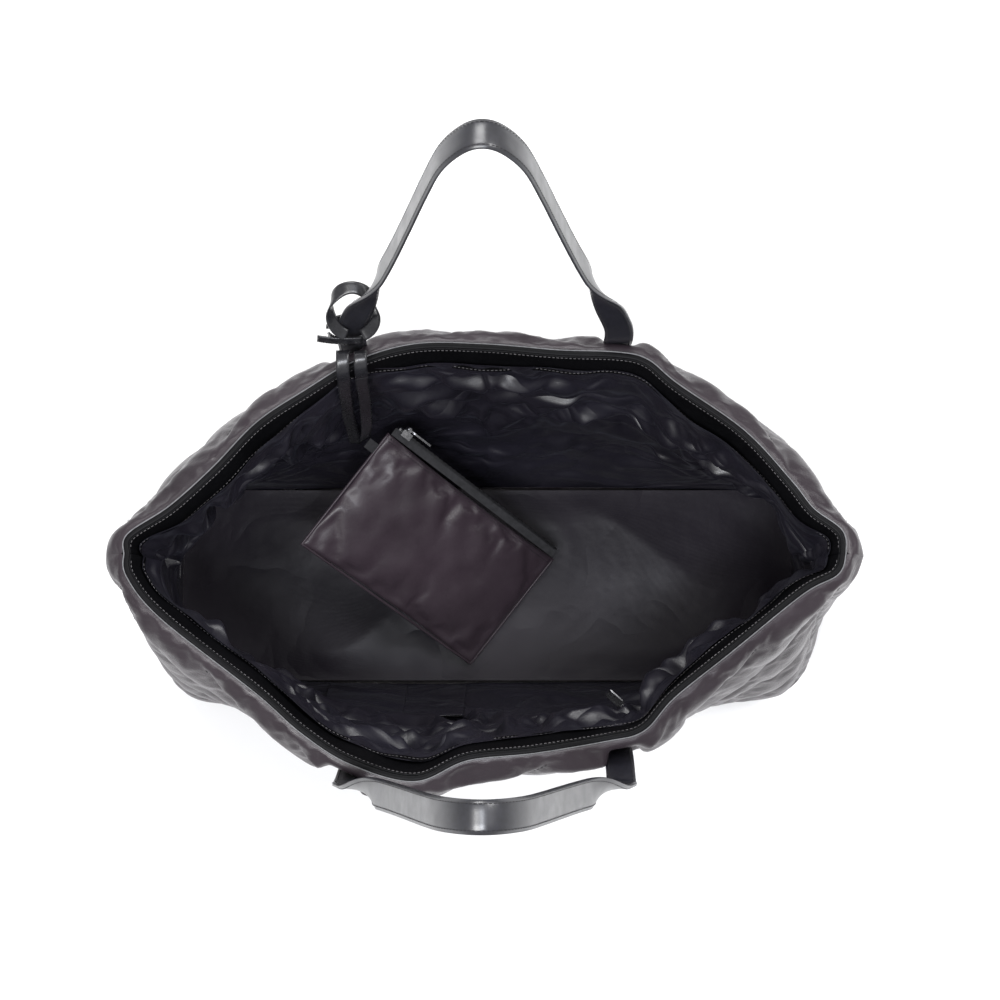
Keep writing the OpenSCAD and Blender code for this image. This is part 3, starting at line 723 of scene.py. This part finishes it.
lining_front, lpin_front = lining_grid(FRONT)
lining_back, lpin_back = lining_grid(BACK)
lshare = np.repeat(step_up(np.linspace(FLOOR_TOP, LINING_TOP, LINING_ROWS), 20, 90)[:, None], SIDE_COLS, 1)
lining = grid_object("lining_ring", ring_of(lining_front, lining_back), closed=True, flip=True)
settle_later(lining, np.flatnonzero(ring_of(lpin_front, lpin_back).ravel()), grow=0.07, pressure=0.35,
             gravity=0.3, bend=0.25, cap=7 * MM, stiff=8, share=ring_of(lshare, lshare).ravel(),
             grid=(LINING_ROWS, 2 * SIDE_COLS - 2))

# ---- pouch

POUCH_AT = np.array([-53.0, 25.0, 88.0])
POUCH_TURN = [math.radians(a) for a in (8, 34, -34)]
POUCH_L, POUCH_D = 224.0, 130.0
POUCH_EDGE, POUCH_SWELL = 1.0, 7.0  # half thickness at its edge, and how much more at its middle
POUCH_COLS, POUCH_ROWS = 61, 37


def from_pouch(p):
    for axis, angle in enumerate(POUCH_TURN):
        p = turn_about(axis, angle, p)
    return (p + POUCH_AT) * MM


def pouch_side(side):
    """One face of the pouch on its own axes, in mm."""
    a = np.linspace(-1, 1, POUCH_COLS)
    b = np.linspace(-1, 1, POUCH_ROWS)
    aa, bb = np.meshgrid(a, b)
    rise = (np.clip(1 - np.abs(aa) ** 3, 0, 1) * np.clip(1 - np.abs(bb) ** 3, 0, 1)) ** 0.55
    x = aa * POUCH_L / 2 - aa * np.abs(aa) * 1.5 * (1 - bb * bb)
    y = bb * POUCH_D / 2 - bb * 2.5 * (1 - aa * aa) * (np.abs(bb) > 0.5)
    h = POUCH_EDGE + POUCH_SWELL * rise + 0.8 * rise * ripples(50 + side, x, y, (60, 30))
    return np.stack([x, y, side * h], -1)


pouch_points = np.concatenate([pouch_side(side).reshape(-1, 3) for side in (1, -1)])
count = POUCH_COLS * POUCH_ROWS
pouch_faces = [tuple(f) for f in grid_faces(POUCH_ROWS, POUCH_COLS)]
pouch_faces += [tuple(f + count) for f in grid_faces(POUCH_ROWS, POUCH_COLS, flip=True)]
rim_ids = ([(0, c) for c in range(POUCH_COLS)] + [(r, POUCH_COLS - 1) for r in range(1, POUCH_ROWS)]
           + [(POUCH_ROWS - 1, c) for c in range(POUCH_COLS - 2, -1, -1)]
           + [(r, 0) for r in range(POUCH_ROWS - 2, 0, -1)])
rim_ids = [r * POUCH_COLS + c for r, c in rim_ids]
for i, a in enumerate(rim_ids):
    b = rim_ids[(i + 1) % len(rim_ids)]
    pouch_faces.append((a, a + count, b + count, b))
pouch = mesh_object("pouch_padded", from_pouch(pouch_points), pouch_faces)
settle_later(pouch, [i for r in rim_ids for i in (r, r + count)], grow=0.035, pressure=2.2, bend=0.1, cap=2.2 * MM)

settle_all()

# ---- pieces out of the settled cloth


def half_of_ring(obj, rows, side):
    """One wall's grid out of a settled ring, with both seam columns."""
    p = coordinates(obj.data).reshape(rows, -1, 3)
    if side == FRONT:
        return p[:, :SIDE_COLS]
    return np.concatenate([p[:, :1], p[:, SIDE_COLS:][:, ::-1], p[:, SIDE_COLS - 1:SIDE_COLS]], axis=1)


shell_half = {side: half_of_ring(shell, WALL_ROWS, side) for side in (FRONT, BACK)}
lining_half = {side: half_of_ring(lining, LINING_ROWS, side) for side in (FRONT, BACK)}
bpy.data.objects.remove(shell)
bpy.data.objects.remove(lining)

for side, word in ((FRONT, "front"), (BACK, "back")):
    outer = put(subdivide(grid_object(f"outer_{word}_quilted", shell_half[side], flip=(side == BACK))),
                SHELL, "bag")
    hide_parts(f"outer_{word}", f"wadding_{word}")
    inner = put(subdivide(grid_object(f"lining_{word}_satin", lining_half[side], flip=(side == FRONT))),
                LINING, "bag")
    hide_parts(f"lining_{word}")

# ---- quilting stitches in the seams


def seam_line(side, cells, heights):
    """Points just proud of the settled outer wall along a seam, with their outward directions."""
    g, points, outward = shell_half[side], [], []
    for u, z in zip(cells, heights):
        col = np.clip(u / CELLS * (SIDE_COLS - 1), 0, SIDE_COLS - 1.001)
        row = np.interp(z, SHELL_Z, np.arange(WALL_ROWS))
        c, r = int(col), min(int(row), WALL_ROWS - 2)
        fc, fr = col - c, row - r
        points.append((g[r, c] * (1 - fc) + g[r, c + 1] * fc) * (1 - fr)
                      + (g[r + 1, c] * (1 - fc) + g[r + 1, c + 1] * fc) * fr)
        outward.append(unit(wall(side, u, z, 10) - wall(side, u, z, 0)))
    return np.array(points) + np.array(outward) * 0.7 * MM, outward


seam_lines = []
for side in (FRONT, BACK):
    for level in range(-4, 9):
        z0 = CHANNEL * (level - PHASE[side])
        for hand in (-1, 1):
            s = np.arange(0, 380, 4.0)
            z = z0 + SLOPE * s
            u = ((s * hand + MIDDLE[side]) / PANEL + 0.5) * CELLS
            keep = (z > 8) & (z < 333) & (np.minimum(u, CELLS - u) > gusset_line(z))
            if keep.sum() > 3:
                seam_lines.append(seam_line(side, u[keep], z[keep]))
    z = np.arange(8, 334, 4.0)
    for u in (gusset_line(z), CELLS - gusset_line(z)):
        seam_lines.append(seam_line(side, u, z))
put(stitches("quilting_stitches", seam_lines, 4.2, 3, 0.3), DARK_THREAD, "bag")

# ---- base, outside and in


def base_ring(reach, count):
    """The base's outline grown by reach mm."""
    half = np.concatenate([BASE_LINE[FRONT][:-1], BASE_LINE[BACK][::-1][:-1]])
    ring = along(np.r_[half, half[:1]], np.linspace(0, 1, count, endpoint=False))
    t = unit(np.roll(ring, -1, 0) - np.roll(ring, 1, 0))
    return ring + reach * np.stack([t[:, 1], -t[:, 0]], -1)


def plate(name, reach, height, rows=26):
    """Cloth plate over the base's outline grown by reach mm; height(x, y, edge) gives z in mm."""
    ring = base_ring(reach, 260)
    share = np.sin(np.linspace(0, 1, rows) * math.pi / 2)
    core = np.clip(ring, [-BASE_X * 0.7, 0], [BASE_X * 0.7, 0])
    p = core[None] * (1 - share[:, None, None]) + ring[None] * share[:, None, None]
    edge = (1 - share)[:, None] * np.linalg.norm(ring - core, axis=1)[None]
    z = height(p[..., 0], p[..., 1], edge)
    return subdivide(grid_object(name, np.concatenate([p, z[..., None]], -1) * MM, closed=True))


def floor_height(x, y, edge):
    soft = 3.6 * folds(70, x + y * 0.8, y - x * 0.25, (420,)) + 1.2 * ripples(71, x + y, y, (190,))
    return FLOOR_TOP + 0.4 + step_up(edge, 2, 34) * (0.8 + soft)


def underside_height(x, y, edge):
    return 0.05 + 2.6 * (1 - step_up(edge, 0, 7)) + 0.5 * (1 + ripples(75, x, y, (90,)))


# the floor wears the lit copy of the lining satin: its lighter colour is painted light
floor_piece = put(plate("lining_base_satin", -1.6, floor_height, rows=44), FLOOR_LIT_SATIN, "bag")
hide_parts("lining_base", "wadding_base", "base_board")
under_piece = put(plate("outer_base_panel", FOOT_EDGE + 0.5, underside_height), SHELL, "bag")
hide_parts("outer_base")
PIPING_R, PIPING_Z = 1.9, 2.8
foot = base_ring(FOOT_EDGE + 0.4, 300)
put(tube("base_piping", np.c_[foot, np.full(len(foot), PIPING_Z)] * MM, PIPING_R * MM, closed=True),
    SHELL, "bag")

# ---- facing band with its folded top edge and a pale painted highlight along the fold

FACING_T = 1.1
RIM_IN = 2.4  # how far the facing stands in at the rim
BAND_Z = RIM_Z - 0.8  # top of the band, where its binding turns over


def facing_bow(deep, share):
    """How far the facing stands in at a share of its height, where its lower edge stands in by deep mm."""
    return RIM_IN + (deep - RIM_IN) * (1 - share) ** 1.15


def facing_wave(side, x, share):
    return 0.8 * (1 - share) * share * 4 * ripples(85 + side, x, x * 0, (70,))


for side, word in ((FRONT, "front"), (BACK, "back")):
    u = np.linspace(0, CELLS, 281)
    x = wall(side, u, RIM_Z, 0)[..., 0] / MM
    deep = facing_in(side, x)
    low = FACING_LOW - 4.5 * ripples(83 + side, x, x * 0.1, (120, 55))
    rows = [wall(side, u, low + (BAND_Z - low) * share, -facing_bow(deep, share) - facing_wave(side, x, share))
            for share in np.linspace(0, 1, 12)]
    band = grid_object(f"facing_{word}_band", np.stack(rows), flip=(side == FRONT))
    put(thicken(band, FACING_T * MM, offset=1.0), FACING, "bag")
    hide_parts(f"facing_{word}")
    # the binding is the facing's black leather; the pale grey 'edge' strip along the fold is a painted highlight
    for part, start, stop, rise, material in (("binding", -2.6, 1.9, 0.9, FACING),
                                              ("edge", 1.7, 3.0, 0.75, FOLD_HIGHLIGHT)):
        middle, half = (start + stop) / 2, (stop - start) / 2
        lip = []
        for a in np.radians(np.linspace(-40, 220, 11)):
            z = BAND_Z + rise * math.sin(a) + 0.2 * ripples(90 + side, x, x * 0.2, (40,))
            flat = wall(side, u, RIM_Z, middle - half * math.cos(a))
            lip.append(np.stack([flat[..., 0], flat[..., 1], z * MM], -1))
        put(grid_object(f"facing_{word}_{part}", np.stack(lip), flip=(side == FRONT)), material,
            "bag")
    u, x, deep, low = (v[2:-2] for v in (u, x, deep, low))
    for part, share, z, proud, radius in (
            ("topstitch", 1 - 3.4 / (RIM_Z - low), RIM_Z - 3.2, 1.15, 0.3),
            ("lower_stitch", 3.5 / (RIM_Z - low), low + 3.5, 1.2, 0.27)):
        bow = facing_bow(deep, share)
        wave = facing_wave(side, x, share) if part == "lower_stitch" else 0
        line = wall(side, u, z, -bow - wave - proud)
        put(stitches(f"facing_{word}_{part}", [(line, wall(side, u, z, -bow - 8) - line)], 3.6, 2.3, radius),
            THREAD, "bag")

# ---- handles

TWIST_FROM, TWIST_TO = 40, 120  # heights above the bend between which a strap turns by 90 degrees
SUNK_END = RIM_Z - 16  # the sewn end follows the wall up to here


def handle_route(side):
    """A handle's middle line above its bend, foot to foot, and its width direction, which turns on the way up."""
    half = [(ROOT_X, 0), (ROOT_X - 1, 20), (ROOT_X - 9, 50), (ROOT_X - 23, 92), (73, 140), (57, 195), (43, 245),
            (30, 285), (14, RISE - 7), (0, RISE)]
    line = smoothed([(-a, b) for a, b in half] + half[-2::-1])
    q = along(line, np.linspace(0, 1, 181))
    lean = math.radians(LEAN[side])
    up = np.array([0, side * math.sin(lean), math.cos(lean)])
    out = np.array([0, side * math.cos(lean), -math.sin(lean)])
    root = np.array([0, BEND_Y[side], BEND_Z])
    route = root + np.c_[q[:, 0], 0 * q[:, 0], 0 * q[:, 0]] + up * q[:, 1:2]
    flat = unit(np.cross(out, unit(np.gradient(route, axis=0))) * side)
    turn = np.radians(90) * step_up(q[:, 1], TWIST_FROM, TWIST_TO)
    return route, flat * np.cos(turn)[:, None] + out * np.sin(turn)[:, None]


def handle_end(side, hand):
    """Sewn end from its foot up to the bend line, lying in the pressed-down padding."""
    x = hand * ROOT_X
    heights = np.array([SEWN_FROM, 268, 275, 282, 290, 300, 310, 320, 330, 338, 343])
    us = np.linspace(2, 38, 721)
    at = []
    for z in heights:
        row = wall(side, us, min(z, SUNK_END), wall_thick(min(z, SUNK_END)) - 4.2) / MM
        at.append(np.interp(x, row[:, 0], side * row[:, 1]) + 2.4)
    at = np.array(at)
    ease = np.interp(heights, [SEWN_FROM, 295, 315, 330, 343], [0, 0.02, 0.25, 0.62, 1.0])
    y = at + (side * BEND_Y[side] - at) * ease
    return np.c_[np.full(len(heights), x), side * y, heights]


for side, word in ((FRONT, "front"), (BACK, "back")):
    route, across = handle_route(side)
    left, right = handle_end(side, -1), handle_end(side, 1)
    path = np.r_[left, route[1:-1], right[::-1]]
    wide = np.r_[np.repeat(across[:1], len(left), 0), across[1:-1], np.repeat(across[-1:], len(right), 0)]
    share = np.linspace(0, 1, 420)
    run = lengths(path) / lengths(path)[-1]
    fine, fine_wide = along(path, share), np.stack([np.interp(share, run, wide[:, k]) for k in range(3)], -1)
    for _ in range(3):
        fine[1:-1] = (fine[:-2] + fine[1:-1] * 2 + fine[2:]) / 4
        fine_wide[1:-1] = (fine_wide[:-2] + fine_wide[1:-1] * 2 + fine_wide[2:]) / 4
    strap = dress(sweep(f"{word}_handle_strap", fine * MM, fine_wide, STRAP_W * MM, STRAP_T * MM, 0.5), STRAP)
    w, up = strap_axes(fine, fine_wide)
    lines = [((fine + w * edge * (STRAP_W / 2 - 2.6) + up * face * (STRAP_T / 2 + 0.05)) * MM, up * face)
             for face in (-1, 1) for edge in (-1, 1)]
    sewn = dress(stitches(f"{word}_handle_stitches", lines, 3.6, 2.5, 0.27), DARK_THREAD)
    for piece in (strap, sewn):
        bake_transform(piece)
    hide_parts(f"{word}_handle", f"{word}_handle_ends")

# ---- tie: knot on the back handle and its two strips

LEG_UP = np.array([0, math.sin(math.radians(LEAN[BACK])), math.cos(math.radians(LEAN[BACK]))])
LEG_OUT = np.array([0, LEG_UP[2], -LEG_UP[1]])
TIE_W, TIE_T = 10.5, 1.7


def by_leg(s, a, b):
    """Point by the handle's left leg: s mm up it from the bend, a to the right and b out."""
    return (np.array([-ROOT_X, BEND_Y[BACK], BEND_Z]) + np.array([1.0, 0, 0]) * np.asarray(a)[..., None]
            + LEG_UP * np.asarray(s)[..., None] + LEG_OUT * np.asarray(b)[..., None])


def turned(start, stop, count):
    return np.radians(np.linspace(start, stop, count))


def tie_part(name, path, across):
    return dress(sweep(name, path * MM, across, TIE_W * MM, TIE_T * MM), TIE)


turn = turned(200, 520, 60)
knot_loop = tie_part("tie_loop", by_leg(44 + 22 * np.cos(turn), 4 + 19 * np.sin(turn), 11 * np.cos(turn) + 2),
                     (LEG_OUT * 0.9 + LEG_UP * 0.5) + np.outer(np.sin(turn * 0.5), [0.5, 0, 0]))
turn = turned(-170, 178, 48)
knot_wrap = tie_part("tie_wrap", by_leg(18 + 5 * np.sin(turn) + np.linspace(0, 2, 48), -2 + 16.5 * np.cos(turn),
                                        -1 + 8.5 * np.sin(turn)), np.repeat([LEG_UP], 48, 0))
knot_end = tie_part("tie_square_end", by_leg(np.linspace(16, 20, 14), np.linspace(10, -27, 14),
                                             -9.5 - 1.5 * np.sin(np.linspace(0, 3, 14))), np.repeat([LEG_UP], 14, 0))
knot = put(joined("tie_knot", [knot_loop, knot_wrap, knot_end]), TIE, "back_handle")
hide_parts("tether_loop", "tether_wrap")

STRAP_ROUTE = [(-104, 167, 352), (-104, 160, 353), (-104, 152, 347), (-104, 148, 334), (-105, 146, 315),
               (-105, 143, 285), (-106, 138, 250), (-107, 132, 220), (-108, 127, 195), (-110, 123, 178),
               (-111, 121, 166)]
TAIL_ROUTE = [(-119, 167, 352), (-119, 158, 352), (-119, 149, 346), (-119, 145, 334), (-120, 143, 315),
              (-121, 140, 285), (-122, 137, 250), (-123, 133, 215), (-123, 130, 180), (-123, 127, 150),
              (-123, 124, 120)]
RIM_CUT = 334.0  # below this height the strip to the pouch is its own piece
CORD_W, CORD_T, CORD_STEPS = 11, 1.6, 70


def strip(name, line, twist):
    wide = np.stack([np.cos(twist), 0.12 + np.sin(twist), np.zeros(len(line))], -1)
    piece = dress(sweep(name, line * MM, wide, CORD_W * MM, CORD_T * MM), TIE)
    return piece


line = along(smoothed(STRAP_ROUTE), np.linspace(0, 1, CORD_STEPS))
twist = np.linspace(0, 0.5, CORD_STEPS)
cut = int(np.searchsorted(-line[:, 2], -RIM_CUT))
tie_strip = strip("pouch_tie_strip", line[cut:], twist[cut:])
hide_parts("tether_strap")
upper = strip("pouch_tie_upper_end", line[:cut + 1], twist[:cut + 1])
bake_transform(upper)
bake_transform(tie_strip)
line = along(smoothed(TAIL_ROUTE), np.linspace(0, 1, CORD_STEPS))
free_end = strip("pouch_tie_free_end", line, 0.18 * np.sin(np.linspace(0, 5, CORD_STEPS)))
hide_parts("tether_tail")
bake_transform(free_end)

# ---- pouch pieces

put(subdivide(pouch), POUCH, "pouch")
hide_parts("pouch_front", "pouch_back", "pouch_wadding_front", "pouch_wadding_back", "pouch_lining")
end_x, edge_y = POUCH_L / 2, POUCH_D / 2
x = np.linspace(3 - end_x, end_x - 3, 90)
lines = []
for face in (-1, 1):
    for y in (edge_y - 3.2, edge_y - 6.4):
        h = POUCH_EDGE + POUCH_SWELL * ((1 - np.abs(2 * x / POUCH_L) ** 3) * (1 - (y / edge_y) ** 3)) ** 0.55
        p, n = (from_pouch(np.stack([x, np.full(90, y), face * (h + proud)], -1)) for proud in (1.2, 9))
        lines.append((p, n - p))
put(stitches("pouch_topstitch", lines, 3.4, 2.3, 0.26), DARK_THREAD, "pouch")
welt = np.c_[np.r_[np.full(30, -end_x), np.linspace(-end_x, end_x, 60)[1:], np.full(29, end_x)],
             np.r_[np.linspace(edge_y, -edge_y, 30), np.full(59, -edge_y), np.linspace(-edge_y, edge_y, 30)[1:]],
             np.zeros(118)]
WELT_R = 1.3
put(tube("pouch_side_seam", from_pouch(welt), WELT_R * MM), POUCH, "pouch")

# ---- slip pockets and the pocket zip's frame

for k, (a, b) in enumerate(((12, 16), (16, 19))):
    uu, zz = np.meshgrid(np.linspace(a, b, 41), np.linspace(20, 131, 30))
    bow = np.sin(np.pi * (uu - a) / (b - a))
    gape = step_up(zz, 40, 131)
    d = -3.0 - 1.0 * bow - gape * bow * 0.8 - 0.5 * gape * ripples(95 + k, uu * 18, zz, (50, 26)) * bow
    p = wall(FRONT, uu, zz - 4.5 * gape * bow, d)
    pocket = subdivide(thicken(grid_object(f"slip_pocket_{k + 1}", p, flip=True), 0.7 * MM))
    put(pocket, LINING, "bag")
    if k == 0:
        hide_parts("slip_pockets")
    put(sweep(f"slip_pocket_{k + 1}_hem", p[-1] + [0, 0.4 * MM, 0], np.repeat([[0, 0.12, 1.0]], 41, 0), 9 * MM, MM),
        LINING, "bag")

WELT_X, WELT_Y = 70.0, 13.4
corners = np.array([(-WELT_X, -WELT_Y), (WELT_X, -WELT_Y), (WELT_X, WELT_Y), (-WELT_X, WELT_Y), (-WELT_X, -WELT_Y)])


def round_zip(scale, height):
    """Line round the pocket zip, height mm proud of it."""
    return from_zip(np.c_[along(corners * scale, np.linspace(0, 1, 160)), np.full(160, height)])


put(tube("pocket_zip_welt", round_zip([1, 1], -0.6)[:-1], WELT_R * MM, closed=True), LINING, "bag")
INSET = [0.965, 0.8]
put(stitches("pocket_zip_stitches", [(round_zip(INSET, 0.05), round_zip(INSET, 5.0) - round_zip(INSET, 0.0))],
             3.2, 2.2, 0.25), DARK_THREAD, "bag")

# ---- CAD nodes that stay

def bevelled(obj, width, segments, **settings):
    m = obj.modifiers.new("soft_edges", "BEVEL")
    m.width, m.segments = width * MM, segments
    for key, value in settings.items():
        setattr(m, key, value)


for name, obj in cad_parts.items():
    if name.endswith("_tape"):
        dress(obj, TAPE)
    elif name.endswith("_teeth"):
        dress(obj, TEETH)
    elif name.endswith(("_stops", "_slider")) or name == "pouch_zip_pull":
        dress(obj, METAL)
        bevelled(obj, 0.25, 2, limit_method="ANGLE")
    elif name.endswith("_tab"):
        dress(obj, TIE)
    elif name == "zip_pocket_bag":
        dress(obj, LINING)

# the pocket's pull, rebuilt with an eye and turned to show its face
PULL_PIN, PULL_TIP = np.array([0.1227, -0.1274, 0.2328]), np.array([0.1035, -0.1107, 0.2356])
PULL_HINGE = np.array([0.01937, -0.13782, 0.99027])
PULL_TURN, PULL_HALF, PULL_T = math.radians(58), 4.6, 0.95
line = (PULL_TIP - PULL_PIN) / np.linalg.norm(PULL_TIP - PULL_PIN)
side = np.cross(line, PULL_HINGE)
turn = np.linspace(0, 2 * math.pi, 24, endpoint=False)
eye = tube("pocket_pull_eye", PULL_PIN + np.outer(1.6 * MM + 3.4 * MM * np.cos(turn), line)
           + np.outer(2.4 * MM * np.sin(turn), side), 0.7 * MM, closed=True)
wide = PULL_HINGE * math.cos(PULL_TURN) + side * math.sin(PULL_TURN)
deep = np.cross(line, wide)
corners = [PULL_PIN + (line * at + wide * half * i + deep * PULL_T * j) * MM
           for at, half in ((4.6, 2.0), (7.0, PULL_HALF), (21.5, PULL_HALF))
           for i, j in ((-1, -1), (1, -1), (1, 1), (-1, 1))]
sides = [(r + k, r + (k + 1) % 4, r + 4 + (k + 1) % 4, r + 4 + k) for r in (0, 4) for k in range(4)]
bar = mesh_object("pocket_pull_bar", corners, sides + [(3, 2, 1, 0), (8, 9, 10, 11)], smooth=False)
bevelled(bar, 0.7, 1)
for piece in (eye, bar):
    put(piece, METAL, "pocket_pull")
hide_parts("pocket_zip_pull")

# ---- floor and light

ground = mesh_object("ground", [(-4, -4, 0), (4, -4, 0), (4, 4, 0), (-4, 4, 0)], [(0, 1, 2, 3)])
paper = Nodes("pale_paper")
paper.colours(paper.noise(3), (0.93, 0.93, 0.93), (0.95, 0.95, 0.95))
paper.set(Roughness=0.8)
dress(ground, paper.mat)
ground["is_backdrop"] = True


def area_light(name, where, target, size, power, tint=(1, 1, 1)):
    data = bpy.data.lights.new(name, "AREA")
    data.shape = "RECTANGLE"
    data.size, data.size_y = size
    data.energy = power
    data.color = tint
    obj = bpy.data.objects.new(name, data)
    scene.collection.objects.link(obj)
    obj.location = where
    obj.rotation_mode = "QUATERNION"
    obj.rotation_quaternion = (Vector(target) - Vector(where)).to_track_quat("-Z", "Y")


area_light("key", (-0.8, -1.0, 2.5), (0, 0, 0.2), (1.0, 0.8), 38)
area_light("top", (0.05, -0.75, 2.45), (0, -0.1, 0.3), (0.45, 0.3), 17, (0.9, 0.93, 1.0))
area_light("fill", (1.5, 0.6, 2.3), (0, 0, 0.2), (1.2, 1.0), 34)
area_light("rear", (-0.4, 1.6, 2.1), (0, 0, 0.2), (1.4, 0.8), 34)
world = bpy.data.worlds.new("studio")
scene.world = world
world.use_nodes = True
background = world.node_tree.nodes["Background"]
background.inputs["Color"].default_value = (1, 1, 1, 1)
background.inputs["Strength"].default_value = 0.52
scene.view_settings.view_transform = "Standard"

low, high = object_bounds()
